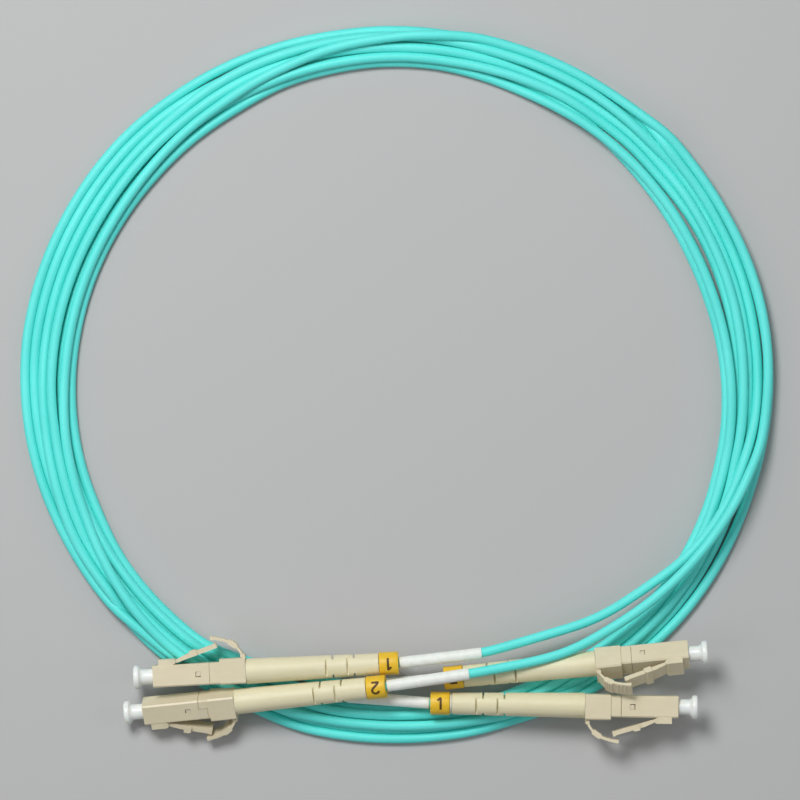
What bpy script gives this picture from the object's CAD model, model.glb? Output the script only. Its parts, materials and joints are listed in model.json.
import json
import logging
import math
from dataclasses import dataclass, field
from enum import Enum
from typing import Callable, Iterable, Sequence

import bmesh
import bpy
import numpy as np
from mathutils import Matrix, Vector


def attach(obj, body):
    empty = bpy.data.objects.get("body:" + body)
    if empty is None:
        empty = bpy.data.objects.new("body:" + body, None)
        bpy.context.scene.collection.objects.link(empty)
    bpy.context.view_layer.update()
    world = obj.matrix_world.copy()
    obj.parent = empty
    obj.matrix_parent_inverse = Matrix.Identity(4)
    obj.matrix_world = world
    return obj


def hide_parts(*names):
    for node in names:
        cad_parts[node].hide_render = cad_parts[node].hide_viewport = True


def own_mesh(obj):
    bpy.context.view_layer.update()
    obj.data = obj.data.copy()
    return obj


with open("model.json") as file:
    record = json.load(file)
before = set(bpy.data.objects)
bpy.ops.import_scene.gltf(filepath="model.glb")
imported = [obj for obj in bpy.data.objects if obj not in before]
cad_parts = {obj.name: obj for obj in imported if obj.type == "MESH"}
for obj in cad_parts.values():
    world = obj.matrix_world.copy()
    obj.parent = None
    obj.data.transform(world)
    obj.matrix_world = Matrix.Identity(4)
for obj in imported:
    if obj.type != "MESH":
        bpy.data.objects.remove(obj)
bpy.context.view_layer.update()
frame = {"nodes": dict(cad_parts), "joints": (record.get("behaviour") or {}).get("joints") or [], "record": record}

LOG = logging.getLogger("patch_cord")
MM = 0.001
# Stations behind a plug's nose and lengths along it, in millimetres.
BOOT_END = 46.65
MARKER_LENGTH = 4.0
Point = tuple[float, float, float]


# ---- Shader graphs ----
class Wire:
    """One output of a shader node, with arithmetic that adds Math nodes."""

    def __init__(self, graph: "Graph", socket: bpy.types.NodeSocket) -> None:
        """Wraps a socket of a graph."""
        self.graph, self.socket = graph, socket

    def _math(self, operation: str, other: "Wire | float") -> "Wire":
        """Adds one Math node and returns its output."""
        return self.graph.add("ShaderNodeMath", {"operation": operation}, {0: self, 1: other})

    def __add__(self, other: "Wire | float") -> "Wire":
        """The sum."""
        return self._math("ADD", other)

    def __mul__(self, other: "Wire | float") -> "Wire":
        """The product."""
        return self._math("MULTIPLY", other)

    def clamped(self, low: float, high: float) -> "Wire":
        """The value stretched from low..high to 0..1 and held there."""
        return self.graph.add("ShaderNodeMapRange", {"clamp": True},
                              {"Value": self, "From Min": low, "From Max": high})


class Graph:
    """A material's node tree while it is being written."""

    def __init__(self, name: str) -> None:
        """Starts an empty material of that name."""
        self.material = bpy.data.materials.new(name)
        self.material.use_nodes = True
        self.tree = self.material.node_tree
        self.tree.nodes.clear()

    def node(self, kind: str, settings: dict | None = None, values: dict | None = None) -> bpy.types.Node:
        """Adds a node.

        Args:
            kind: The node's type.
            settings: Properties that are set first.
            values: Values or wires for its inputs, by name or index.

        Returns:
            The node.
        """
        made = self.tree.nodes.new(kind)
        for key, value in (settings or {}).items():
            setattr(made, key, value)
        for key, value in (values or {}).items():
            if isinstance(value, Wire):
                self.tree.links.new(value.socket, made.inputs[key])
            else:
                made.inputs[key].default_value = value
        return made

    def add(self, kind: str, settings: dict | None = None, values: dict | None = None,
            output: int | str = 0) -> Wire:
        """Adds a node and returns one of its outputs as a wire."""
        return Wire(self, self.node(kind, settings, values).outputs[output])

    def place(self, scale: Point = (1, 1, 1), turn: Point = (0, 0, 0)) -> Wire:
        """Object coordinates in millimetres, stretched and turned."""
        here = self.add("ShaderNodeTexCoord", output="Object")
        return self.add("ShaderNodeMapping", {},
                        {"Vector": here, "Scale": [s / MM for s in scale], "Rotation": turn})

    def noise(self, where: Wire, scale: float, detail: float = 3.0, rough: float = 0.5) -> Wire:
        """A noise value around one half."""
        return self.add("ShaderNodeTexNoise", {},
                        {"Vector": where, "Scale": scale, "Detail": detail, "Roughness": rough}, "Fac")

    def blend(self, factor: Wire, low: Wire | Sequence[float], high: Sequence[float]) -> Wire:
        """A colour between two colours."""
        start = low if isinstance(low, Wire) else (*low, 1.0)
        return self.add("ShaderNodeMix", {"data_type": "RGBA"}, {0: factor, 6: start, 7: (*high, 1.0)}, 2)

    def bump(self, height: Wire, distance_mm: float) -> Wire:
        """A bumped normal."""
        return self.add("ShaderNodeBump", {}, {"Height": height, "Distance": distance_mm * MM,
                                               "Strength": 1.0}, "Normal")

    def surface(self, values: dict) -> bpy.types.Material:
        """Ends the graph in one Principled shader and returns the material."""
        shader = self.add("ShaderNodeBsdfPrincipled", {}, values, "BSDF")
        self.node("ShaderNodeOutputMaterial", {}, {"Surface": shader})
        return self.material


def linear(red: int, green: int, blue: int) -> tuple[float, float, float]:
    """A colour of 0 to 255 as the renderer's linear values."""
    return tuple(((c / 255 + 0.055) / 1.055) ** 2.4 if c > 10 else c / 255 / 12.92
                 for c in (red, green, blue))


# The shade deep inside a slit, where hardly any light falls.
SLIT_SHADE = linear(58, 44, 28)


@dataclass(frozen=True)
class MouldedPlastic:
    """Injection-moulded plastic: an even colour with a faint bloom and a fine spark-eroded grain."""

    name: str
    base: tuple[float, float, float]
    deep: tuple[float, float, float]
    roughness: float = 0.42
    grain_mm: float = 0.09
    grain_depth_mm: float = 0.004
    subsurface: float = 0.06
    slit_fall: float = 2.6

    def make(self) -> bpy.types.Material:
        """Builds the material."""
        g = Graph(self.name)
        where = g.place()
        bloom = g.noise(where, 0.16, 4.0, 0.55)
        grain = g.noise(where, 1 / self.grain_mm, 2.0, 0.6)
        flow = g.noise(g.place((0.25, 1.2, 1.2)), 0.9, 3.0)
        tone = (bloom * 0.65 + flow * 0.35).clamped(0.3, 0.72)
        depth = g.add("ShaderNodeAttribute", {"attribute_name": "depth"}, output="Fac")
        slit = (depth * self.slit_fall).clamped(0.0, 0.85)
        return g.surface({
            "Base Color": g.blend(slit, g.blend(tone, self.deep, self.base), SLIT_SHADE),
            "Roughness": (grain * 0.16 + bloom * 0.08 + (self.roughness - 0.12)),
            "Normal": g.bump(grain + flow * 0.5, self.grain_depth_mm),
            "Subsurface Weight": self.subsurface,
            "Subsurface Radius": [0.9 * MM, 0.7 * MM, 0.45 * MM],
            "Subsurface Scale": 1.0,
            "IOR": 1.49,
        })


@dataclass(frozen=True)
class CableJacket:
    """Extruded cable jacket: a satin skin with faint die lines along the cable and slow shade changes."""

    name: str
    base: tuple[float, float, float]
    deep: tuple[float, float, float]
    roughness: float = 0.5

    def make(self) -> bpy.types.Material:
        """Builds the material."""
        g = Graph(self.name)
        along = g.add("ShaderNodeAttribute", {"attribute_name": "along"}, output="Fac")
        around = g.add("ShaderNodeAttribute", {"attribute_name": "around"}, output="Fac")
        skin = g.add("ShaderNodeCombineXYZ", {}, {"X": along * 6.0, "Y": around * 34.0, "Z": 0.0})
        drawn = g.noise(skin, 1.0, 3.0, 0.6)
        slow = g.noise(g.add("ShaderNodeCombineXYZ", {}, {"X": along * 42.0, "Y": around * 1.4, "Z": 3.0}),
                       1.0, 2.0)
        fine = g.noise(g.place(), 7.0, 2.0, 0.6)
        tone = (slow * 0.6 + drawn * 0.25 + fine * 0.15).clamped(0.32, 0.66)
        return g.surface({
            "Base Color": g.blend(tone, self.deep, self.base),
            "Roughness": drawn * 0.14 + fine * 0.12 + (self.roughness - 0.1),
            "Normal": g.bump(drawn * 0.6 + fine * 0.4, 0.006),
            "Subsurface Weight": 0.05,
            "Subsurface Radius": [0.3 * MM, 0.8 * MM, 0.8 * MM],
            "Subsurface Scale": 1.0,
            "IOR": 1.48,
        })


@dataclass(frozen=True)
class Metal:
    """Turned or plated metal with lathe marks round the plug's axis."""

    name: str
    base: tuple[float, float, float]
    roughness: float

    def make(self) -> bpy.types.Material:
        """Builds the material."""
        g = Graph(self.name)
        marks = g.noise(g.place((9.0, 0.5, 0.5)), 2.0, 3.0, 0.6)
        stain = g.noise(g.place(), 0.7, 3.0)
        dark = tuple(c * 0.72 for c in self.base)
        return g.surface({
            "Base Color": g.blend(stain.clamped(0.3, 0.7), dark, self.base),
            "Metallic": 1.0,
            "Roughness": marks * 0.2 + (self.roughness - 0.1),
            "Normal": g.bump(marks, 0.004),
        })


@dataclass(frozen=True)
class SoftSleeve:
    """Shrunk or rubbery sleeve: matt, with a soft mottling and fine creases across it."""

    name: str
    base: tuple[float, float, float]
    deep: tuple[float, float, float]
    roughness: float = 0.5

    def make(self) -> bpy.types.Material:
        """Builds the material."""
        g = Graph(self.name)
        where = g.place()
        mottle = g.noise(where, 0.8, 4.0, 0.6)
        crease = g.noise(g.place((2.6, 0.5, 0.5)), 1.1, 3.0, 0.55)
        return g.surface({
            "Base Color": g.blend(mottle.clamped(0.32, 0.68), self.deep, self.base),
            "Roughness": mottle * 0.15 + (self.roughness - 0.07),
            "Normal": g.bump(crease * 0.7 + mottle * 0.3, 0.02),
            "Subsurface Weight": 0.1,
            "Subsurface Radius": [0.6 * MM, 0.5 * MM, 0.4 * MM],
            "Subsurface Scale": 1.0,
        })


@dataclass(frozen=True)
class Ceramic:
    """Ground and polished ceramic."""

    name: str

    def make(self) -> bpy.types.Material:
        """Builds the material."""
        g = Graph(self.name)
        cloud = g.noise(g.place(), 1.4, 3.0)
        ground = g.noise(g.place((12.0, 0.6, 0.6)), 2.0, 2.0)
        return g.surface({
            "Base Color": g.blend(cloud, linear(232, 230, 222), linear(246, 245, 240)),
            "Roughness": ground * 0.08 + 0.08,
            "Normal": g.bump(ground, 0.001),
            "Coat Weight": 0.3,
        })


class Finish(Enum):
    """The finishes of the object, each named for the record's material slot."""

    CABLE_JACKET = CableJacket("cable_jacket", linear(108, 243, 236), linear(84, 225, 217))
    IVORY_HOUSING = MouldedPlastic("ivory_housing", linear(226, 216, 187), linear(218, 207, 176))
    IVORY_BOOT = MouldedPlastic("ivory_boot", linear(233, 226, 192), linear(226, 218, 181),
                                roughness=0.5, grain_mm=0.14, grain_depth_mm=0.006, subsurface=0.1)
    WHITE_CAP = MouldedPlastic("white_cap", linear(244, 247, 243), linear(236, 240, 236),
                               roughness=0.32, grain_mm=0.2, grain_depth_mm=0.003, subsurface=0.25)
    WHITE_SLEEVE = SoftSleeve("white_sleeve", linear(246, 249, 242), linear(234, 238, 230))
    YELLOW_MARKER = SoftSleeve("yellow_marker", linear(241, 200, 52), linear(232, 187, 40), 0.46)
    DIGIT_INK = SoftSleeve("digit_ink", linear(96, 66, 16), linear(80, 54, 12), 0.6)
    ZIRCONIA = Ceramic("zirconia")
    HOLDER_METAL = Metal("holder_metal", (0.62, 0.56, 0.42), 0.28)
    SPRING_STEEL = Metal("spring_steel", (0.56, 0.57, 0.58), 0.3)
    CRIMP_METAL = Metal("crimp_metal", (0.60, 0.58, 0.54), 0.33)
    CRIMP_TUBE = Metal("crimp_tube", (0.66, 0.67, 0.68), 0.36)


class Finishes:
    """Makes each finish's material once."""

    def __init__(self) -> None:
        """Starts with nothing made."""
        self._made: dict[Finish, bpy.types.Material] = {}

    def __getitem__(self, finish: Finish) -> bpy.types.Material:
        """The material of a finish."""
        if finish not in self._made:
            self._made[finish] = finish.value.make()
        return self._made[finish]


# ---- Mesh kit: all shapes are drawn in millimetres and brought to metres once, at the end ----
def linked(name: str, data: bpy.types.ID) -> bpy.types.Object:
    """A new object of a mesh, light or camera, put into the scene."""
    made = bpy.data.objects.new(name, data)
    bpy.context.scene.collection.objects.link(made)
    return made


def baked(source: bpy.types.Object, name: str) -> bpy.types.Object:
    """A plain mesh object of what an object's modifiers show; the source is removed."""
    bpy.context.view_layer.update()
    graph = bpy.context.evaluated_depsgraph_get()
    mesh = bpy.data.meshes.new_from_object(source.evaluated_get(graph))
    bpy.data.objects.remove(source)
    mesh.name = name
    return linked(name, mesh)


class Shape:
    """A mesh in millimetres that is built up and then set down as a piece."""

    def __init__(self) -> None:
        """Starts empty."""
        self.bm = bmesh.new()

    @classmethod
    def of_node(cls, node: str, place: Matrix) -> "Shape":
        """A merged copy of a CAD node, brought back to a plug's own frame, its flat faces whole again."""
        made = cls()
        made.bm.from_mesh(frame["nodes"][node].data)
        made.bm.transform(place.inverted() @ Matrix.Scale(1 / MM, 4))
        bmesh.ops.remove_doubles(made.bm, verts=made.bm.verts, dist=0.002)
        bmesh.ops.dissolve_limit(made.bm, angle_limit=math.radians(0.6), use_dissolve_boundaries=False,
                                 verts=made.bm.verts, edges=made.bm.edges)
        return made

    def lathe(self, profile: Sequence[tuple[float, float]], sides: int = 64,
              wave: Callable[[float, float], float] | None = None) -> None:
        """Adds a closed ring or bar turned about X.

        Args:
            profile: A closed loop of (x, radius), or an open one that starts and ends at radius 0.
            sides: Number of steps round.
            wave: Radius factor at (x, angle), for what isn't quite round.
        """
        rings: list[list[bmesh.types.BMVert]] = []
        for x, r in profile:
            if r < 1e-6:
                rings.append([self.bm.verts.new((x, 0, 0))] * sides)
                continue
            ring = []
            for k in range(sides):
                a = math.tau * k / sides
                w = r * (wave(x, a) if wave else 1.0)
                ring.append(self.bm.verts.new((x, w * math.cos(a), w * math.sin(a))))
            rings.append(ring)
        closed = profile[0][1] > 1e-6
        faces = []
        for i in range(len(rings) - (0 if closed else 1)):
            one, two = rings[i], rings[(i + 1) % len(rings)]
            for k in range(sides):
                n = (k + 1) % sides
                corners = list(dict.fromkeys((one[k], one[n], two[n], two[k])))
                if len(corners) > 2:
                    faces.append(self.bm.faces.new(corners))
        bmesh.ops.recalc_face_normals(self.bm, faces=faces)

    def box(self, low: Point, high: Point) -> None:
        """Adds a box between two corners."""
        corners = ((low[0], low[2]), (high[0], low[2]), (high[0], high[2]), (low[0], high[2]))
        near, far = ([self.bm.verts.new((x, y, z)) for x, z in corners] for y in (low[1], high[1]))
        faces = [self.bm.faces.new(near), self.bm.faces.new(far[::-1])]
        faces += [self.bm.faces.new((near[i], far[i], far[(i + 1) % 4], near[(i + 1) % 4]))
                  for i in range(4)]
        bmesh.ops.recalc_face_normals(self.bm, faces=faces)

    def barrel(self, x: float, z: float, radius: float, half_width: float, sides: int = 40) -> None:
        """Adds a round bar along Y with softened rims."""
        soft = 0.06
        rings = []
        for y, r in ((-half_width, radius - soft), (-half_width + soft, radius),
                     (half_width - soft, radius), (half_width, radius - soft)):
            rings.append([self.bm.verts.new((x + r * math.cos(math.tau * k / sides), y,
                                             z + r * math.sin(math.tau * k / sides))) for k in range(sides)])
        faces = [self.bm.faces.new(rings[0]), self.bm.faces.new(rings[-1][::-1])]
        faces += [self.bm.faces.new((a[k], b[k], b[(k + 1) % sides], a[(k + 1) % sides]))
                  for a, b in zip(rings, rings[1:]) for k in range(sides)]
        bmesh.ops.recalc_face_normals(self.bm, faces=faces)

    def _as_object(self, name: str) -> bpy.types.Object:
        """An object of the shape as it is now, in millimetres."""
        mesh = bpy.data.meshes.new(name)
        self.bm.to_mesh(mesh)
        return linked(name, mesh)

    def cut(self, boxes: Sequence[tuple[Point, Point]]) -> None:
        """Cuts boxes out of the shape, one after another, since they overlap each other.

        Args:
            boxes: Lowest and highest corner of each.
        """
        for low, high in boxes:
            tool = Shape()
            tool.box(low, high)
            body, cutter = self._as_object("body"), tool._as_object("cutter")
            away = body.modifiers.new("cut", "BOOLEAN")
            away.operation, away.solver, away.object = "DIFFERENCE", "EXACT", cutter
            made = baked(body, "cut")
            bpy.data.objects.remove(cutter)
            self.bm.clear()
            self.bm.from_mesh(made.data)
            bpy.data.objects.remove(made)

    def rounded(self, width: float, steps: int = 2, sharper_than: float = 28.0) -> None:
        """Rounds the edges that are sharper than an angle, in degrees."""
        limit = math.radians(sharper_than)
        edges = [e for e in self.bm.edges if len(e.link_faces) == 2 and e.calc_face_angle(0) > limit
                 and e.calc_length() > width * 0.6]
        bmesh.ops.bevel(self.bm, geom=edges, offset=width, segments=steps, profile=0.5,
                        affect="EDGES", clamp_overlap=True, offset_type="OFFSET")

    def set_down(self, name: str, place: Matrix, material: bpy.types.Material,
                 smooth_under: float = 40.0) -> bpy.types.Object:
        """Turns the shape into an object whose place is in its mesh.

        Args:
            name: The piece's name.
            place: From the shape's own millimetres to the row frame's millimetres.
            material: Its finish.
            smooth_under: Edges flatter than this are shaded smooth, in degrees.

        Returns:
            The object, in metres.
        """
        mesh = bpy.data.meshes.new(name)
        bmesh.ops.remove_doubles(self.bm, verts=self.bm.verts, dist=1e-4)
        self.bm.to_mesh(mesh)
        self.bm.free()
        mesh.transform(Matrix.Scale(MM, 4) @ place)
        mesh.shade_smooth()
        mesh.set_sharp_from_angle(angle=math.radians(smooth_under))
        mesh.materials.append(material)
        made = linked(name, mesh)
        made.modifiers.new("even normals", "WEIGHTED_NORMAL").keep_sharp = True
        return baked(made, name)


class NodeTree:
    """A Geometry Nodes tree while it is being written."""

    def __init__(self, name: str, inputs: Iterable[tuple[str, str]]) -> None:
        """Starts a tree with a geometry input and the named inputs, given as (name, socket type)."""
        self.tree = bpy.data.node_groups.new(name, "GeometryNodeTree")
        face = self.tree.interface
        face.new_socket("Geometry", in_out="INPUT", socket_type="NodeSocketGeometry")
        for label, kind in inputs:
            face.new_socket(label, in_out="INPUT", socket_type=kind)
        face.new_socket("Geometry", in_out="OUTPUT", socket_type="NodeSocketGeometry")
        self.source = self.tree.nodes.new("NodeGroupInput")
        self.sink = self.tree.nodes.new("NodeGroupOutput")

    def add(self, kind: str, settings: dict | None = None, values: dict | None = None) -> bpy.types.Node:
        """Adds a node; an input takes a value or another node's output."""
        made = self.tree.nodes.new(kind)
        for key, value in (settings or {}).items():
            setattr(made, key, value)
        for key, value in (values or {}).items():
            if isinstance(value, bpy.types.NodeSocket):
                self.tree.links.new(value, made.inputs[key])
            else:
                made.inputs[key].default_value = value
        return made

    def given(self, label: str) -> bpy.types.NodeSocket:
        """The value of one of the tree's inputs."""
        return self.source.outputs[label]

    def end(self, socket: bpy.types.NodeSocket) -> None:
        """Makes instances real, sets the material and ends the tree."""
        real = self.add("GeometryNodeRealizeInstances", {}, {"Geometry": socket})
        dressed = self.add("GeometryNodeSetMaterial", {}, {"Geometry": real.outputs[0],
                                                           "Material": self.given("Material")})
        self.tree.links.new(dressed.outputs[0], self.sink.inputs[0])

    def run(self, source: bpy.types.Object, name: str, values: dict) -> bpy.types.Object:
        """Runs the tree on an object with values for its inputs, and returns the plain result."""
        modifier = source.modifiers.new(name, "NODES")
        modifier.node_group = self.tree
        for item in self.tree.interface.items_tree:
            if item.item_type == "SOCKET" and item.in_out == "INPUT" and item.name in values:
                modifier[item.identifier] = values[item.name]
        return baked(source, name)


def polyline(points: Sequence[Sequence[float]]) -> bpy.types.Object:
    """A chain of edges through points in millimetres, as an object in metres."""
    mesh = bpy.data.meshes.new("line")
    mesh.from_pydata([[c * MM for c in p] for p in points], [(i, i + 1) for i in range(len(points) - 1)], [])
    return linked("line", mesh)


def tube_tree() -> NodeTree:
    """A tree that draws a round tube along a chain of edges, with 'along' and 'around' on its skin."""
    made = NodeTree("round_tube", [("Radius", "NodeSocketFloat"), ("Sides", "NodeSocketInt"),
                                   ("Material", "NodeSocketMaterial")])
    line = made.add("GeometryNodeMeshToCurve", {}, {0: made.given("Geometry")})
    reach = made.add("GeometryNodeSplineParameter")
    marked = made.add("GeometryNodeStoreNamedAttribute", {"data_type": "FLOAT", "domain": "POINT"},
                      {"Geometry": line.outputs[0], "Name": "along", "Value": reach.outputs["Length"]})
    ring = made.add("GeometryNodeCurvePrimitiveCircle", {},
                    {"Resolution": made.given("Sides"), "Radius": made.given("Radius")})
    turn = made.add("GeometryNodeSplineParameter")
    ringed = made.add("GeometryNodeStoreNamedAttribute", {"data_type": "FLOAT", "domain": "POINT"},
                      {"Geometry": ring.outputs[0], "Name": "around", "Value": turn.outputs["Factor"]})
    tube = made.add("GeometryNodeCurveToMesh", {}, {"Curve": marked.outputs[0],
                                                    "Profile Curve": ringed.outputs[0], "Fill Caps": True})
    smooth = made.add("GeometryNodeSetShadeSmooth", {}, {"Geometry": tube.outputs[0]})
    made.end(smooth.outputs[0])
    return made


# ---- Plugs ----
class End(Enum):
    """The four plugs, each with its digit."""

    A1 = ("a1", "1")
    A2 = ("a2", "2")
    B1 = ("b1", "1")
    B2 = ("b2", "2")

    @property
    def key(self) -> str:
        """The plug's name in the CAD nodes."""
        return self.value[0]

    @property
    def digit(self) -> str:
        """The digit on its marker."""
        return self.value[1]


# Pitch and yaw of each white sleeve against its plug, in degrees.
SLEEVE_BEND = {End.A1: (0.0, 3.4), End.A2: (-4.3, 2.4), End.B1: (-3.8, -3.2), End.B2: (-5.0, 0.6)}
# Distance between each boot and its number marker.
MARKER_GAP = {End.A1: 0.1, End.A2: 0.1, End.B1: 0.5, End.B2: 0.1}


@dataclass(frozen=True)
class PlugFrame:
    """Where a plug lies: its own X is the mating direction, its own Z the latch's side."""

    end: End
    place: Matrix

    @classmethod
    def read(cls, end: End) -> "PlugFrame":
        """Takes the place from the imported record's mount and the trigger's hinge."""
        mount = next(m for m in frame["record"]["mounts"] if m["name"] == f"plug_{end.key}")
        hinge = next(j for j in frame["joints"] if j["name"] == f"trigger_hinge_{end.key}")
        along, across = Vector(mount["axis"]).normalized(), Vector(hinge["axis"]).normalized()
        up = along.cross(across).normalized()
        turn = Matrix((along, across, up)).transposed().to_4x4()
        return cls(end, Matrix.Translation(Vector(mount["pos_m"]) / MM) @ turn)

    def at(self, back: float, across: float = 0.0, up: float = 0.0) -> Vector:
        """A point in the row frame, in millimetres, from a station measured back from the nose."""
        return self.place @ Vector((-back, across, up))


@dataclass
class Plug:
    """One plug with everything that is pressed, snapped or slid onto it."""

    spot: PlugFrame
    finishes: Finishes
    edge_round: float = 0.07
    half_width: float = 2.25
    ferrule_travel: float = 2.0
    boot_start: float = 19.25
    boot_length: float = 27.4
    boot_radii: tuple[float, float] = (2.65, 2.25)
    seam: float = 11.7
    seam_width: float = 0.13
    seam_depth: float = 0.14
    key_reach: float = 1.75
    key_edge: float = -0.25
    window: float = 8.85
    latch_hinge: tuple[float, float] = (4.3, 2.88)
    latch_root: float = 0.6
    latch_root_half: float = 2.11
    trigger_hinge: tuple[float, float] = (18.7, 3.33)
    trigger_root: float = 0.5
    trigger_root_half: float = 1.72
    slit_span: tuple[float, float] = (0.5, 0.97)
    cap_radius: float = 1.6
    cap_flange_radius: float = 2.45
    cap_stand: float = 2.6
    cap_flange: float = 1.5
    cap_depth: float = 2.4
    cap_bore: float = 0.675
    pieces: dict[str, bpy.types.Object] = field(default_factory=dict)

    @property
    def key(self) -> str:
        """The plug's name."""
        return self.spot.end.key

    def _keep(self, kind: str, made: bpy.types.Object, body: str, finish: Finish, *nodes: str) -> None:
        """Rides a piece on its body and says which CAD nodes it stands for."""
        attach(made, body)
        if nodes:
            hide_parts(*nodes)
        finish.name.lower() in {m["slot"] for m in frame["record"]["materials"]}
        self.pieces[kind] = made
        LOG.info("piece %s on body %s: %d faces", made.name, body, len(made.data.polygons))

    def build(self) -> None:
        """Builds every visible piece of the plug and dresses the inner ones."""
        self._moulded("front_housing", "cord", Finish.IVORY_HOUSING, self._front_details)
        self._moulded("rear_housing", "cord", Finish.IVORY_HOUSING, self._rear_details)
        self._moulded("latch", f"latch_{self.key}", Finish.IVORY_HOUSING, self._latch_details)
        self._moulded("trigger", f"trigger_{self.key}", Finish.IVORY_HOUSING, self._trigger_details)
        self._moulded("boot", "cord", Finish.IVORY_BOOT, self._boot_details)
        self._cap()
        self._spring()
        for kind, finish in (("ferrule", Finish.ZIRCONIA), ("ferrule_flange", Finish.HOLDER_METAL),
                             ("crimp_body", Finish.CRIMP_METAL), ("crimp_sleeve", Finish.CRIMP_TUBE)):
            self._dress(f"{kind}_{self.key}", finish)

    def _spring(self) -> None:
        """The coil spring, which shortens against the crimp body as the ferrule is pushed back."""
        node = f"spring_{self.key}"
        shape = Shape.of_node(node, self.spot.place)
        ends = [vert.co.x for vert in shape.bm.verts]
        back, front = min(ends), max(ends)
        made = shape.set_down(f"spring_coil_{self.key}", self.spot.place, self.finishes[Finish.SPRING_STEEL])
        self._keep("spring", made, "cord", Finish.SPRING_STEEL, node)
        axis = self.spot.place.to_3x3() @ Vector((1, 0, 0))
        f"ferrule_slide_{self.key}"
        self.spot.at(-back) * MM
        1 - self.ferrule_travel / (front - back)
        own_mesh(made)

    def _dress(self, node: str, finish: Finish) -> None:
        """Gives a CAD node that stays its finish."""
        body = frame["nodes"][node]
        body.data.materials.clear()
        body.data.materials.append(self.finishes[finish])
        LOG.info("node %s dressed as %s", node, finish.name.lower())

    def _moulded(self, kind: str, body: str, finish: Finish, detail: Callable[[Shape], None]) -> None:
        """A moulded part: the CAD shape with its edges rounded as a mould leaves them.

        Args:
            kind: The part's name.
            body: The body it rides on.
            finish: Its finish.
            detail: Cuts and adds the small features, and rounds the edges.
        """
        node = f"{kind}_{self.key}"
        shape = Shape.of_node(node, self.spot.place)
        detail(shape)
        self._keep(kind, shape.set_down(f"{kind}_shell_{self.key}", self.spot.place,
                                        self.finishes[finish]), body, finish, node)

    def _front_details(self, shape: Shape) -> None:
        """The key that reaches back over the neck on one side."""
        shape.rounded(self.edge_round)
        side, seam = self.half_width, self.seam
        shape.box((-seam - self.key_reach, -side - 0.012, self.key_edge),
                  (-seam + 0.3, -side + 0.06, side - 0.45))

    def _rear_details(self, shape: Shape) -> None:
        """The groove at the seam, the groove round the key, and the snap in each catch window."""
        side, seam, deep, gap = self.half_width, self.seam, self.seam_depth, self.seam_width
        reach, edge = seam + self.key_reach, self.key_edge
        shape.cut([
            ((-seam - gap, -side - 1, side - deep), (-seam + 0.1, side + 1, side + 1)),
            ((-seam - gap, -side - 1, -side - 1), (-seam + 0.1, side + 1, -side + deep)),
            ((-seam - gap, side - deep, -side + deep / 2), (-seam + 0.1, side + 1, side - deep / 2)),
            ((-seam - gap, -side - 1, -side + deep / 2), (-seam + 0.1, -side + deep, side - deep / 2)),
        ])
        shape.cut([((-reach, -side - 1, edge - gap), (-seam - gap / 2, -side + deep, edge)),
                   ((-reach - gap, -side - 1, edge - gap), (-reach, -side + deep, side + 0.1))])
        shape.rounded(self.edge_round)
        window = self.window
        for way in (-1, 1):
            near, far = sorted((way * (side - 0.5), way * (side - 0.05)))
            shape.box((-window - 1.06, near, -0.34), (-window - 0.2, far, 0.5))

    def _latch_details(self, shape: Shape) -> None:
        """The rounded root of the latch, which fills its groove."""
        shape.rounded(self.edge_round)
        shape.barrel(-self.latch_hinge[0], self.latch_hinge[1], self.latch_root, self.latch_root_half)

    def _trigger_details(self, shape: Shape) -> None:
        """The rounded root of the trigger, which fills its groove."""
        shape.rounded(self.edge_round * 0.6)
        shape.barrel(-self.trigger_hinge[0], self.trigger_hinge[1], self.trigger_root, self.trigger_root_half)

    def _boot_details(self, shape: Shape) -> None:
        """How deep each point lies under the boot's taper, which darkens the slits."""
        shape.rounded(self.edge_round)
        depth = shape.bm.verts.layers.float.new("depth")
        head, tail = self.boot_radii
        start, length = self.boot_start, self.boot_length
        for vert in shape.bm.verts:
            share = (-vert.co.x - start) / length
            if self.slit_span[0] < share < self.slit_span[1]:
                vert[depth] = max(0.0, head + (tail - head) * share - math.hypot(vert.co.y, vert.co.z) - 0.03)

    def _cap(self) -> None:
        """The dust cap: a plain barrel with a domed grip flange at its outer end."""
        tip = self.cap_stand + self.cap_flange
        flange, barrel, bore = self.cap_flange_radius, self.cap_radius, self.cap_bore
        dome = [(tip - 0.42 * (1 - math.cos(a)), flange - 0.75 + 0.75 * math.sin(a))
                for a in (math.radians(v) for v in (0, 20, 40, 60, 80, 90))]
        profile = [(tip, 0.0), (tip, flange - 1.3), *dome,
                   (self.cap_stand + 0.55, flange), (self.cap_stand + 0.4, flange - 0.05),
                   (self.cap_stand + 0.28, flange - 0.2), (self.cap_stand + 0.16, barrel + 0.42),
                   (self.cap_stand, barrel + 0.2), (self.cap_stand - 0.2, barrel + 0.06),
                   (self.cap_stand - 0.5, barrel),
                   (0.6, barrel), (-self.cap_depth + 0.25, barrel - 0.03), (-self.cap_depth, barrel - 0.2),
                   (-self.cap_depth, bore + 0.12), (-self.cap_depth + 0.12, bore),
                   (self.cap_stand - 0.9, bore), (self.cap_stand - 0.8, 0.0)]
        shape = Shape()
        shape.lathe(profile, 72)
        self._keep("dust_cap", shape.set_down(f"dust_cap_shell_{self.key}", self.spot.place,
                                              self.finishes[Finish.WHITE_CAP], 55.0),
                   f"cap_{self.key}", Finish.WHITE_CAP, f"dust_cap_{self.key}")


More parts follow.
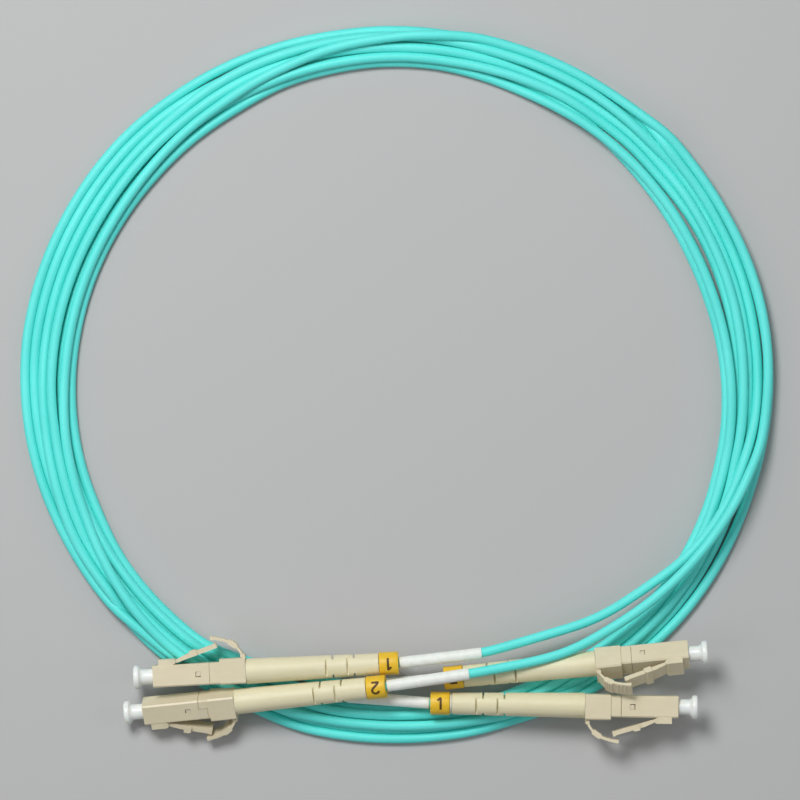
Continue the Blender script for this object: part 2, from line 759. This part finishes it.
# ---- Cords ----
@dataclass(frozen=True)
class Ring:
    """The coil's shape seen from above: a ring that is slightly longer than wide."""

    centre: tuple[float, float] = (-3.3, 63.4)

    def middle(self, turn: float) -> float:
        """Radius of the bundle's middle at an angle in degrees."""
        a = math.radians(turn)
        return 71.45 + 1.16 * math.cos(2 * a) - 0.16 * math.cos(a) - 0.31 * math.sin(a)

    def point(self, turn: float, radius: float, height: float) -> Point:
        """A point of the row frame, in millimetres."""
        a = math.radians(turn)
        return (self.centre[0] + radius * math.cos(a), self.centre[1] + radius * math.sin(a), height)


@dataclass(frozen=True)
class Strand:
    """One cord's way round: stations of (turn in degrees, offset from the middle in mm, layer)."""

    name: str
    leaves: End
    arrives: End
    start_route: tuple[Point, ...]
    end_route: tuple[Point, ...]
    stations: tuple[tuple[float, float, float], ...]


CORD_ONE = Strand(
    "cord_one", End.A1, End.B1,
    ((26, 11.2, 7.2), (37.5, 14.9, 6.4), (47.5, 21, 5.2), (57.4, 28.6, 4.9), (64.7, 38.8, 4.6),
     (69.2, 50.5, 3.4)),
    ((-38, 4.8, 1.2), (-32, 2.6, 1.6), (-26, 1, 2.2), (-20, -0.6, 3.4)),
    ((0, 1.9, 2), (30, 2.6, 1), (60, 3.2, 0), (90, 2.9, 0), (120, 4.4, 0), (150, 5.1, 0), (180, 4.5, 1),
     (200, 3.6, 1), (220, 2.2, 1), (240, 1.2, 0), (270, 0.8, 0), (300, 0.7, 1),
     (320, 0.4, 1), (360, -1.5, 1), (410, -0.1, 1), (440, -0.3, 1), (480, -0.3, 1), (510, -1.2, 1),
     (540, -0.6, 1), (570, 0, 1), (600, -0.6, 1), (630, -1.8, 1), (660, -1.9, 0),
     (680, -1.9, 0), (720, -4.3, 0), (740, -5.8, 0), (765, -5.2, 0), (780, -3.2, 0), (810, -1, 0),
     (840, -1.1, 0), (870, -1, 0), (900, 0.1, 0), (930, -1.3, 0), (960, -1.9, 0), (990, -2.4, 0),
     (1020, -1, 0), (1040, 0.1, 0), (1080, -2.1, 0), (1095, -1.7, 0), (1125, -1.7, 0),
     (1145, -2.3, 1), (1170, -2.2, 1), (1200, -2.6, 1),
     (1230, -3.1, 0), (1260, -2.8, 0), (1290, -2.5, 0), (1319.4, -3.1, 0)))

CORD_TWO = Strand(
    "cord_two", End.A2, End.B2,
    ((29.2, 7.3, 9.5), (39.5, 12.3, 8.2), (49.5, 19, 7.2), (58.4, 27.6, 6.8), (65.9, 38.2, 6.6),
     (71.4, 50, 4)),
    ((-43.2, 9, 1.3), (-35, 5.8, 1.3), (-27, 3.8, 1.6), (-19, 1.8, 2.5)),
    ((5, 4.5, 2), (20, 4.5, 2), (40, 3.8, 3), (60, 3.6, 3), (90, 2.1, 3), (105, 0.1, 3), (120, -1.9, 3),
     (145, -3.7, 3), (180, -3.4, 3), (210, -0.8, 3), (230, 0.9, 3), (270, 0.4, 2), (300, 1.6, 1),
     (320, 2.2, 1), (360, 0.2, 1), (380, 0.4, 1), (410, 1.6, 1), (450, 1.9, 2), (480, 1.9, 1),
     (510, 1.1, 0), (540, 1.1, 1), (570, 1.3, 1), (590, 2.4, 0), (630, 2.1, 1), (660, 3.4, 1),
     (680, 4.3, 1), (705, 3.6, 0), (720, 4.4, 0), (740, 4.5, 0), (780, 1.3, 0), (810, 0.9, 0),
     (840, 2, 0), (870, 2.9, 0), (900, 3, 0), (930, 2, 0), (960, 1.2, 0), (990, -0.6, 0),
     (1020, -1.2, 0), (1040, -1.3, 1), (1080, -3.8, 1), (1090, -4.6, 1), (1100, -5.1, 1),
     (1125, -4.7, 1), (1170, -2.9, 0), (1200, -3.4, 0),
     (1230, -4.9, 0), (1260, -4.7, 0), (1290, -3.8, 0), (1313.7, -3.9, 0)))


@dataclass
class CoilLay:
    """Lets the turns of both cords settle on the floor and on each other, one slice of the ring at a time."""

    ring: Ring
    diameter: float = 2.0
    step: float = 2.5
    rounds: int = 900
    sink: float = 0.012
    pull: float = 0.03
    start_turn: float = -60.0

    def _smooth_between(self, stations: Sequence[tuple[float, float, float]], at: np.ndarray) -> np.ndarray:
        """Offsets and layers at every slice, by a smooth curve through the stations."""
        table = np.array(stations, float)
        out = []
        for column in (1, 2):
            value = np.interp(at, table[:, 0], table[:, column])
            for _ in range(10):
                value[1:-1] = 0.25 * value[:-2] + 0.5 * value[1:-1] + 0.25 * value[2:]
            out.append(value)
        return np.stack(out, axis=1)

    def _slices_of(self, strand: Strand) -> tuple[np.ndarray, np.ndarray, np.ndarray, int]:
        """Turn, radius and height of a cord at each slice, and how many slices at its start are fixed."""
        lead = np.array(spline(strand.start_route, 1.0))
        angle = np.degrees(np.arctan2(lead[:, 1] - self.ring.centre[1], lead[:, 0] - self.ring.centre[0]))
        reach = np.hypot(lead[:, 0] - self.ring.centre[0], lead[:, 1] - self.ring.centre[1])
        last = strand.stations[-1][0]
        turns = np.arange(self.start_turn, last + 1e-6, self.step)
        joined = angle[-1]
        held = int(np.sum(turns <= joined))
        free = turns[held:]
        stations = ((joined, reach[-1] - self.ring.middle(joined), strand.stations[0][2]), *strand.stations)
        laid = self._smooth_between(stations, free)
        radius = np.concatenate([np.interp(turns[:held], angle, reach),
                                 [self.ring.middle(t) + o for t, o in zip(free, laid[:, 0])]])
        height = np.concatenate([np.interp(turns[:held], angle, lead[:, 2]),
                                 self.diameter * (0.5 + 0.86 * laid[:, 1])])
        return turns, radius, height, held

    def settle(self, strands: Sequence[Strand]) -> list[tuple[np.ndarray, np.ndarray, np.ndarray, int]]:
        """Settles the cords together.

        Args:
            strands: The cords.

        Returns:
            For each cord its turns, radii, heights and the number of fixed slices at its start.
        """
        cords = [self._slices_of(s) for s in strands]
        slices = int(round(360 / self.step))
        rows: list[tuple[int, int, int]] = []
        for c, (turns, _, _, _) in enumerate(cords):
            for first in range(0, len(turns), slices):
                rows.append((c, first, min(first + slices, len(turns))))
        radius = np.full((len(rows), slices), np.nan)
        height = np.full((len(rows), slices), np.nan)
        fixed = np.zeros((len(rows), slices), bool)
        for i, (c, a, b) in enumerate(rows):
            radius[i, : b - a], height[i, : b - a] = cords[c][1][a:b], cords[c][2][a:b]
            fixed[i, : max(0, min(b, cords[c][3]) - a)] = True
            if b == len(cords[c][0]):
                fixed[i, b - a - 2: b - a] = True
        wanted = radius.copy()
        for turn in range(self.rounds):
            height = np.where(fixed, height, height - self.sink)
            radius = np.where(fixed, radius, radius + self.pull * (wanted - radius))
            for i in range(len(rows)):
                for j in range(i + 1, len(rows)):
                    dr = np.nan_to_num(radius[i] - radius[j], nan=99.0)
                    dz = np.nan_to_num(height[i] - height[j], nan=99.0)
                    gap = np.sqrt(dr * dr + dz * dz) + 1e-9
                    push = np.where(gap < self.diameter, (self.diameter - gap) / gap * 0.5, 0.0)
                    both = np.where(fixed[i] | fixed[j], 2.0, 1.0)
                    radius[i] += np.where(fixed[i], 0, push * dr * both)
                    height[i] += np.where(fixed[i], 0, push * dz * both)
                    radius[j] -= np.where(fixed[j], 0, push * dr * both)
                    height[j] -= np.where(fixed[j], 0, push * dz * both)
            height = np.where(fixed, height, np.maximum(height, self.diameter / 2))
            if turn < self.rounds - 30:
                self._stiffen(cords, rows, radius, height, fixed)
        out = []
        for c, (turns, _, _, held) in enumerate(cords):
            own = [i for i, row in enumerate(rows) if row[0] == c]
            size = len(turns)
            out.append((turns, np.concatenate([radius[i] for i in own])[:size],
                        np.concatenate([height[i] for i in own])[:size], held))
        return out

    @staticmethod
    def _stiffen(cords: Sequence, rows: Sequence[tuple[int, int, int]], radius: np.ndarray,
                 height: np.ndarray, fixed: np.ndarray) -> None:
        """Evens each cord along its length, as its stiffness does, in place."""
        for c, (turns, _, _, _) in enumerate(cords):
            own = [i for i, row in enumerate(rows) if row[0] == c]
            for values, share in ((radius, 0.12), (height, 0.2)):
                line = np.concatenate([values[i] for i in own])[: len(turns)]
                rest = np.concatenate([fixed[i] for i in own])[: len(turns)]
                even = line.copy()
                even[1:-1] += share * (0.5 * (line[:-2] + line[2:]) - line[1:-1])
                line = np.where(rest, line, even)
                for i in own:
                    _, a, b = rows[i]
                    values[i, : b - a] = line[a:b]


def spline(points: Sequence[Sequence[float]], step: float) -> list[Point]:
    """A smooth curve through points, with points about a step apart."""
    line = np.array(points, float)
    ends = np.vstack([2 * line[0] - line[1], line, 2 * line[-1] - line[-2]])
    out = []
    for i in range(len(line) - 1):
        a, b, c, d = ends[i: i + 4]
        count = max(1, int(round(np.linalg.norm(c - b) / step)))
        for k in range(count):
            t = k / count
            out.append(tuple(0.5 * (2 * b + (c - a) * t + (2 * a - 5 * b + 4 * c - d) * t * t
                                    + (3 * b - a - 3 * c + d) * t ** 3)))
    out.append(tuple(line[-1]))
    return out


def evened(points: Sequence[Sequence[float]], step: float, passes: int) -> np.ndarray:
    """Points a step apart along a line, smoothed that many times."""
    line = np.array(points, float)
    run = np.concatenate([[0], np.cumsum(np.linalg.norm(np.diff(line, axis=0), axis=1))])
    at = np.linspace(0, run[-1], int(run[-1] / step) + 1)
    line = np.stack([np.interp(at, run, line[:, k]) for k in range(3)], axis=1)
    for _ in range(passes):
        line[1:-1] = 0.25 * line[:-2] + 0.5 * line[1:-1] + 0.25 * line[2:]
    return line


@dataclass
class Cord:
    """One simplex cord from plug to plug, with its sleeves and number markers."""

    strand: Strand
    frames: dict[End, PlugFrame]
    finishes: Finishes
    ring: Ring
    tube: NodeTree
    diameter: float = 2.0
    sides: int = 28
    crimp_back: float = 23.35
    sleeve_length: float = 17.3
    line: np.ndarray | None = None

    def sleeve_ends(self, end: End) -> tuple[Vector, Vector]:
        """Where the sleeve starts, behind its marker, and where its bend takes it."""
        spot = self.frames[end]
        bend = SLEEVE_BEND[end]
        start = spot.at(BOOT_END + MARKER_GAP[end] + MARKER_LENGTH)
        along = (spot.place.to_3x3() @ Vector((1, 0, 0))).normalized()
        pitch = math.asin(-along.z) + math.radians(bend[0])
        yaw = math.atan2(along.y, along.x) + math.radians(bend[1])
        way = Vector((math.cos(pitch) * math.cos(yaw), math.cos(pitch) * math.sin(yaw), -math.sin(pitch)))
        return start, start - way * self.sleeve_length

    def route(self, laid: tuple[np.ndarray, np.ndarray, np.ndarray, int]) -> None:
        """Joins the leads and the settled turns into one line."""
        turns, radius, height, held = laid
        turned = [self.ring.point(t, r, h) for t, r, h in
                  zip(turns[held + 1:-1], radius[held + 1:-1], height[held + 1:-1])]
        ends = []
        for end in (self.strand.leaves, self.strand.arrives):
            spot = self.frames[end]
            start, stop = self.sleeve_ends(end)
            ends.append([tuple(spot.at(self.crimp_back)), tuple(spot.at(BOOT_END - 4)), tuple(start),
                         tuple(start.lerp(stop, (self.sleeve_length - 3) / self.sleeve_length)), tuple(stop)])
        points = [*ends[0], *self.strand.start_route, *turned, *self.strand.end_route, *ends[1][::-1]]
        self.line = evened(spline(points, 0.8), 1.6, 6)

    def length(self) -> float:
        """The line's length in metres."""
        return float(np.linalg.norm(np.diff(self.line, axis=0), axis=1).sum()) * MM

    def build(self) -> bpy.types.Object:
        made = self.tube.run(polyline(self.line), self.strand.name,
                             {"Radius": self.diameter / 2 * MM, "Sides": self.sides,
                              "Material": self.finishes[Finish.CABLE_JACKET]})
        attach(made, "cord")
        nodes = [f"lead_{self.strand.leaves.key}", f"lead_{self.strand.arrives.key}"]
        if self.strand is CORD_ONE:
            nodes.append("coil")
        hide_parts(*nodes)
        LOG.info("cord %s: %.3f m, %d faces", made.name, self.length(), len(made.data.polygons))
        return made

    def declare(self, made: bpy.types.Object, pieces: Sequence[bpy.types.Object]) -> None:
        """Says what the cord is: its length, its width and what is on it."""
        tuple(self.frames[self.strand.leaves].at(BOOT_END) * MM)
        self.diameter * MM
        [tuple(p * MM) for p in self.line]


DIGIT_STROKES = {
    "1": [(-0.2, 0.26), (-0.08, 0.33), (0.03, 0.46), (0.05, 0.47), (0.05, 0.3), (0.05, -0.46)],
    "2": [*((0.25 * math.cos(math.radians(a)), 0.2 + 0.25 * math.sin(math.radians(a)))
            for a in range(170, -50, -15)), (-0.1, -0.22), (-0.25, -0.42), (-0.1, -0.42), (0.27, -0.42)],
}


@dataclass
class Sleeving:
    """What is slid onto the cable behind one boot: the number marker with its digit, and the white sleeve."""

    spot: PlugFrame
    ends: tuple[Vector, Vector]
    finishes: Finishes
    gap: float
    marker_radius: float = 2.4
    bore: float = 1.15
    sleeve_outer: float = 1.21
    sleeve_inner: float = 1.05
    digit_height: float = 2.75
    stroke: float = 0.46
    ink_under: float = 0.06
    ink_over: float = 0.025

    @staticmethod
    def _keep(made: bpy.types.Object, slot: str | None = None, *nodes: str) -> bpy.types.Object:
        """Rides a piece on the cord, with its slot and the CAD nodes it stands for."""
        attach(made, "cord")
        if nodes:
            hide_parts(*nodes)
        LOG.info("piece %s", made.name)
        return made

    def marker(self) -> bpy.types.Object:
        """The yellow number marker, slightly out of round with soft edges."""
        start = -(BOOT_END + self.gap)
        stop, r, b = start - MARKER_LENGTH, self.marker_radius, self.bore
        profile = [(start - 0.02, b + 0.1), (start, b + 0.25), (start, r - 0.2), (start - 0.06, r - 0.06),
                   (start - 0.2, r), (start - 1.4, r - 0.02), (start - 2.6, r - 0.03), (stop + 0.2, r),
                   (stop + 0.06, r - 0.06), (stop, r - 0.2), (stop, b + 0.25), (stop + 0.02, b + 0.1),
                   (stop + 0.2, b), (start - 0.2, b)]
        shape = Shape()
        shape.lathe(profile, 72, lambda x, a: 1 - 0.006 * math.sin(2 * a + 0.7) - 0.003 * math.sin(5 * a + x))
        key = self.spot.end.key
        made = shape.set_down(f"number_ring_{key}", self.spot.place,
                              self.finishes[Finish.YELLOW_MARKER], 50.0)
        return self._keep(made, "yellow_marker", f"number_marker_{key}")

    def digit(self) -> bpy.types.Object:
        """The digit, printed round the marker where it faces up."""
        line = evened([(x * self.digit_height, y * self.digit_height, 0.0)
                       for x, y in DIGIT_STROKES[self.spot.end.digit]], 0.12, 1)
        ahead = np.gradient(line, axis=0)
        side = np.stack([-ahead[:, 1], ahead[:, 0]], axis=1)
        side *= self.stroke / 2 / np.linalg.norm(side, axis=1, keepdims=True)
        towards = self.spot.place.to_3x3().inverted() @ Vector((0, 0, 1))
        up = math.atan2(towards.z, towards.y)
        centre = -(BOOT_END + self.gap + MARKER_LENGTH / 2)
        shape = Shape()
        rings = []
        for (x, y, _), (sx, sy) in zip(line, side):
            ring = []
            for way, reach in ((1, -self.ink_under), (1, self.ink_over),
                               (-1, self.ink_over), (-1, -self.ink_under)):
                angle = up - (y + way * sy) / self.marker_radius
                radius = self.marker_radius + reach
                ring.append(shape.bm.verts.new((centre + x + way * sx, radius * math.cos(angle),
                                                radius * math.sin(angle))))
            rings.append(ring)
        shape.bm.faces.new(rings[0])
        shape.bm.faces.new(rings[-1][::-1])
        for one, two in zip(rings, rings[1:]):
            for k in range(4):
                shape.bm.faces.new((one[k], two[k], two[(k + 1) % 4], one[(k + 1) % 4]))
        bmesh.ops.recalc_face_normals(shape.bm, faces=shape.bm.faces)
        made = shape.set_down(f"digit_{self.spot.end.key}", self.spot.place,
                              self.finishes[Finish.DIGIT_INK])
        return self._keep(made)

    def crumpled_end(self) -> bpy.types.Object:
        """The white sleeve's crumpled front end, which shows between boot and marker."""
        start = -(BOOT_END + 0.03)
        stop = start - self.gap + 0.06
        shape = Shape()
        shape.lathe([(start, 1.2), (start, 1.8), (start - 0.08, 1.98), (stop + 0.1, 2.12), (stop, 2.0),
                     (stop, 1.2)], 60,
                    lambda x, a: 1 + 0.05 * math.sin(3 * a + 1) * math.sin(2 * a) if x > stop else 1.0)
        made = shape.set_down(f"sleeve_end_{self.spot.end.key}", self.spot.place,
                              self.finishes[Finish.WHITE_SLEEVE], 60.0)
        return self._keep(made, "white_sleeve")

    def sleeve(self) -> bpy.types.Object:
        """The white shrunk sleeve, a little uneven along its length."""
        start, stop = self.ends
        way = (start - stop).normalized()
        side = Vector((0, 0, 1)).cross(way).normalized()
        place = Matrix.Translation(start) @ Matrix((way, side, way.cross(side))).transposed().to_4x4()
        length = (start - stop).length
        count = 44
        outer = [(-0.2 - (length - 0.2) * i / count, self.sleeve_outer) for i in range(count + 1)]
        inner = [(x, self.sleeve_inner) for x, _ in (outer[-1], outer[0])]
        soft = [(outer[0][0], self.sleeve_outer - 0.05), (outer[0][0] - 0.05, self.sleeve_outer)]
        profile = [*soft, *outer[1:-1], (outer[-1][0] + 0.05, self.sleeve_outer),
                   (outer[-1][0], self.sleeve_outer - 0.05), *inner]

        def wave(x: float, a: float) -> float:
            """A slow unevenness that leaves the bore round."""
            return 1 + 0.006 * math.sin(0.9 * x + a) + 0.005 * math.sin(2.3 * x - 2 * a + 1)

        shape = Shape()
        shape.lathe(profile, 48, wave)
        key = self.spot.end.key
        made = shape.set_down(f"white_sleeve_{key}", place, self.finishes[Finish.WHITE_SLEEVE], 50.0)
        return self._keep(made, "white_sleeve", f"id_sleeve_{key}")


# ---- Stage ----
@dataclass(frozen=True)
class Studio:
    """A pale floor, soft light and a camera straight above."""

    look_at: tuple[float, float] = (-3.1, 60.0)
    across: float = 165.6
    height: float = 1200.0

    def camera(self) -> None:
        """Places the camera."""
        lens = bpy.data.cameras.new("camera")
        lens.sensor_width = 36.0
        lens.lens = 36.0 * (self.height - 4.0) / self.across
        lens.clip_start, lens.clip_end = 0.01, 10.0
        eye = linked("camera", lens)
        eye.location = (self.look_at[0] * MM, self.look_at[1] * MM, self.height * MM)
        bpy.context.scene.camera = eye

    def floor(self) -> None:
        """Lays the floor."""
        bm = bmesh.new()
        bmesh.ops.create_grid(bm, x_segments=2, y_segments=2, size=3.0)
        mesh = bpy.data.meshes.new("floor")
        bm.to_mesh(mesh)
        bm.free()
        g = Graph("floor")
        mesh.materials.append(g.surface({"Base Color": (0.5, 0.5, 0.5, 1), "Roughness": 0.8,
                                         "Specular IOR Level": 0.2}))
        linked("floor", mesh)

    def light(self) -> None:
        """Hangs the soft boxes and sets an even sky."""
        for name, place, aim, size, power in (
                ("key", (-0.2, 0.38, 0.66), (0.0, 0.05, 0.0), 0.3, 4.2),
                ("fill", (-0.5, -0.1, 0.5), (0.0, 0.05, 0.0), 0.5, 0.6),
                ("side", (0.55, 0.05, 0.45), (0.0, 0.05, 0.0), 0.5, 0.6)):
            lamp = bpy.data.lights.new(name, "AREA")
            lamp.shape, lamp.size, lamp.energy = "DISK", size, power
            made = linked(name, lamp)
            made.location = place
            made.rotation_euler = (Vector(aim) - Vector(place)).to_track_quat("-Z", "Y").to_euler()
        world = bpy.data.worlds.new("sky")
        bpy.context.scene.world = world
        world.use_nodes = True
        world.node_tree.nodes["Background"].inputs[0].default_value = (0.95, 0.97, 1.0, 1)
        world.node_tree.nodes["Background"].inputs[1].default_value = 0.2
        bpy.context.scene.view_settings.view_transform = "Standard"


@dataclass
class PatchCord:
    """The whole object."""

    finishes: Finishes = field(default_factory=Finishes)
    ring: Ring = field(default_factory=Ring)

    def build(self) -> None:
        """Builds cords, sleeving and plugs."""
        frames = {end: PlugFrame.read(end) for end in End}
        tube = tube_tree()
        cords = [Cord(s, frames, self.finishes, self.ring, tube) for s in (CORD_ONE, CORD_TWO)]
        for cord, laid in zip(cords, CoilLay(self.ring).settle([CORD_ONE, CORD_TWO])):
            cord.route(laid)
        tubes = [cord.build() for cord in cords]
        plugs = {end: Plug(frames[end], self.finishes) for end in End}
        for plug in plugs.values():
            plug.build()
        on_cable: dict[End, list[bpy.types.Object]] = {}
        for cord in cords:
            for end in (cord.strand.leaves, cord.strand.arrives):
                kit = Sleeving(frames[end], cord.sleeve_ends(end), self.finishes, MARKER_GAP[end])
                on_cable[end] = [kit.marker(), kit.digit(), kit.sleeve()]
                if end is End.B1:
                    on_cable[end].append(kit.crumpled_end())
        for cord, made in zip(cords, tubes):
            near, far = cord.strand.leaves, cord.strand.arrives
            cord.declare(made, [*on_cable[near], *on_cable[far], plugs[near].pieces["boot"],
                                plugs[far].pieces["boot"], plugs[far].pieces["rear_housing"]])


def main() -> None:
    """Builds the scene."""
    logging.basicConfig(level=logging.INFO, format="%(name)s: %(message)s")
    studio = Studio()
    studio.camera()
    PatchCord().build()
    studio.floor()
    studio.light()


if __name__ == "__main__":
    main()
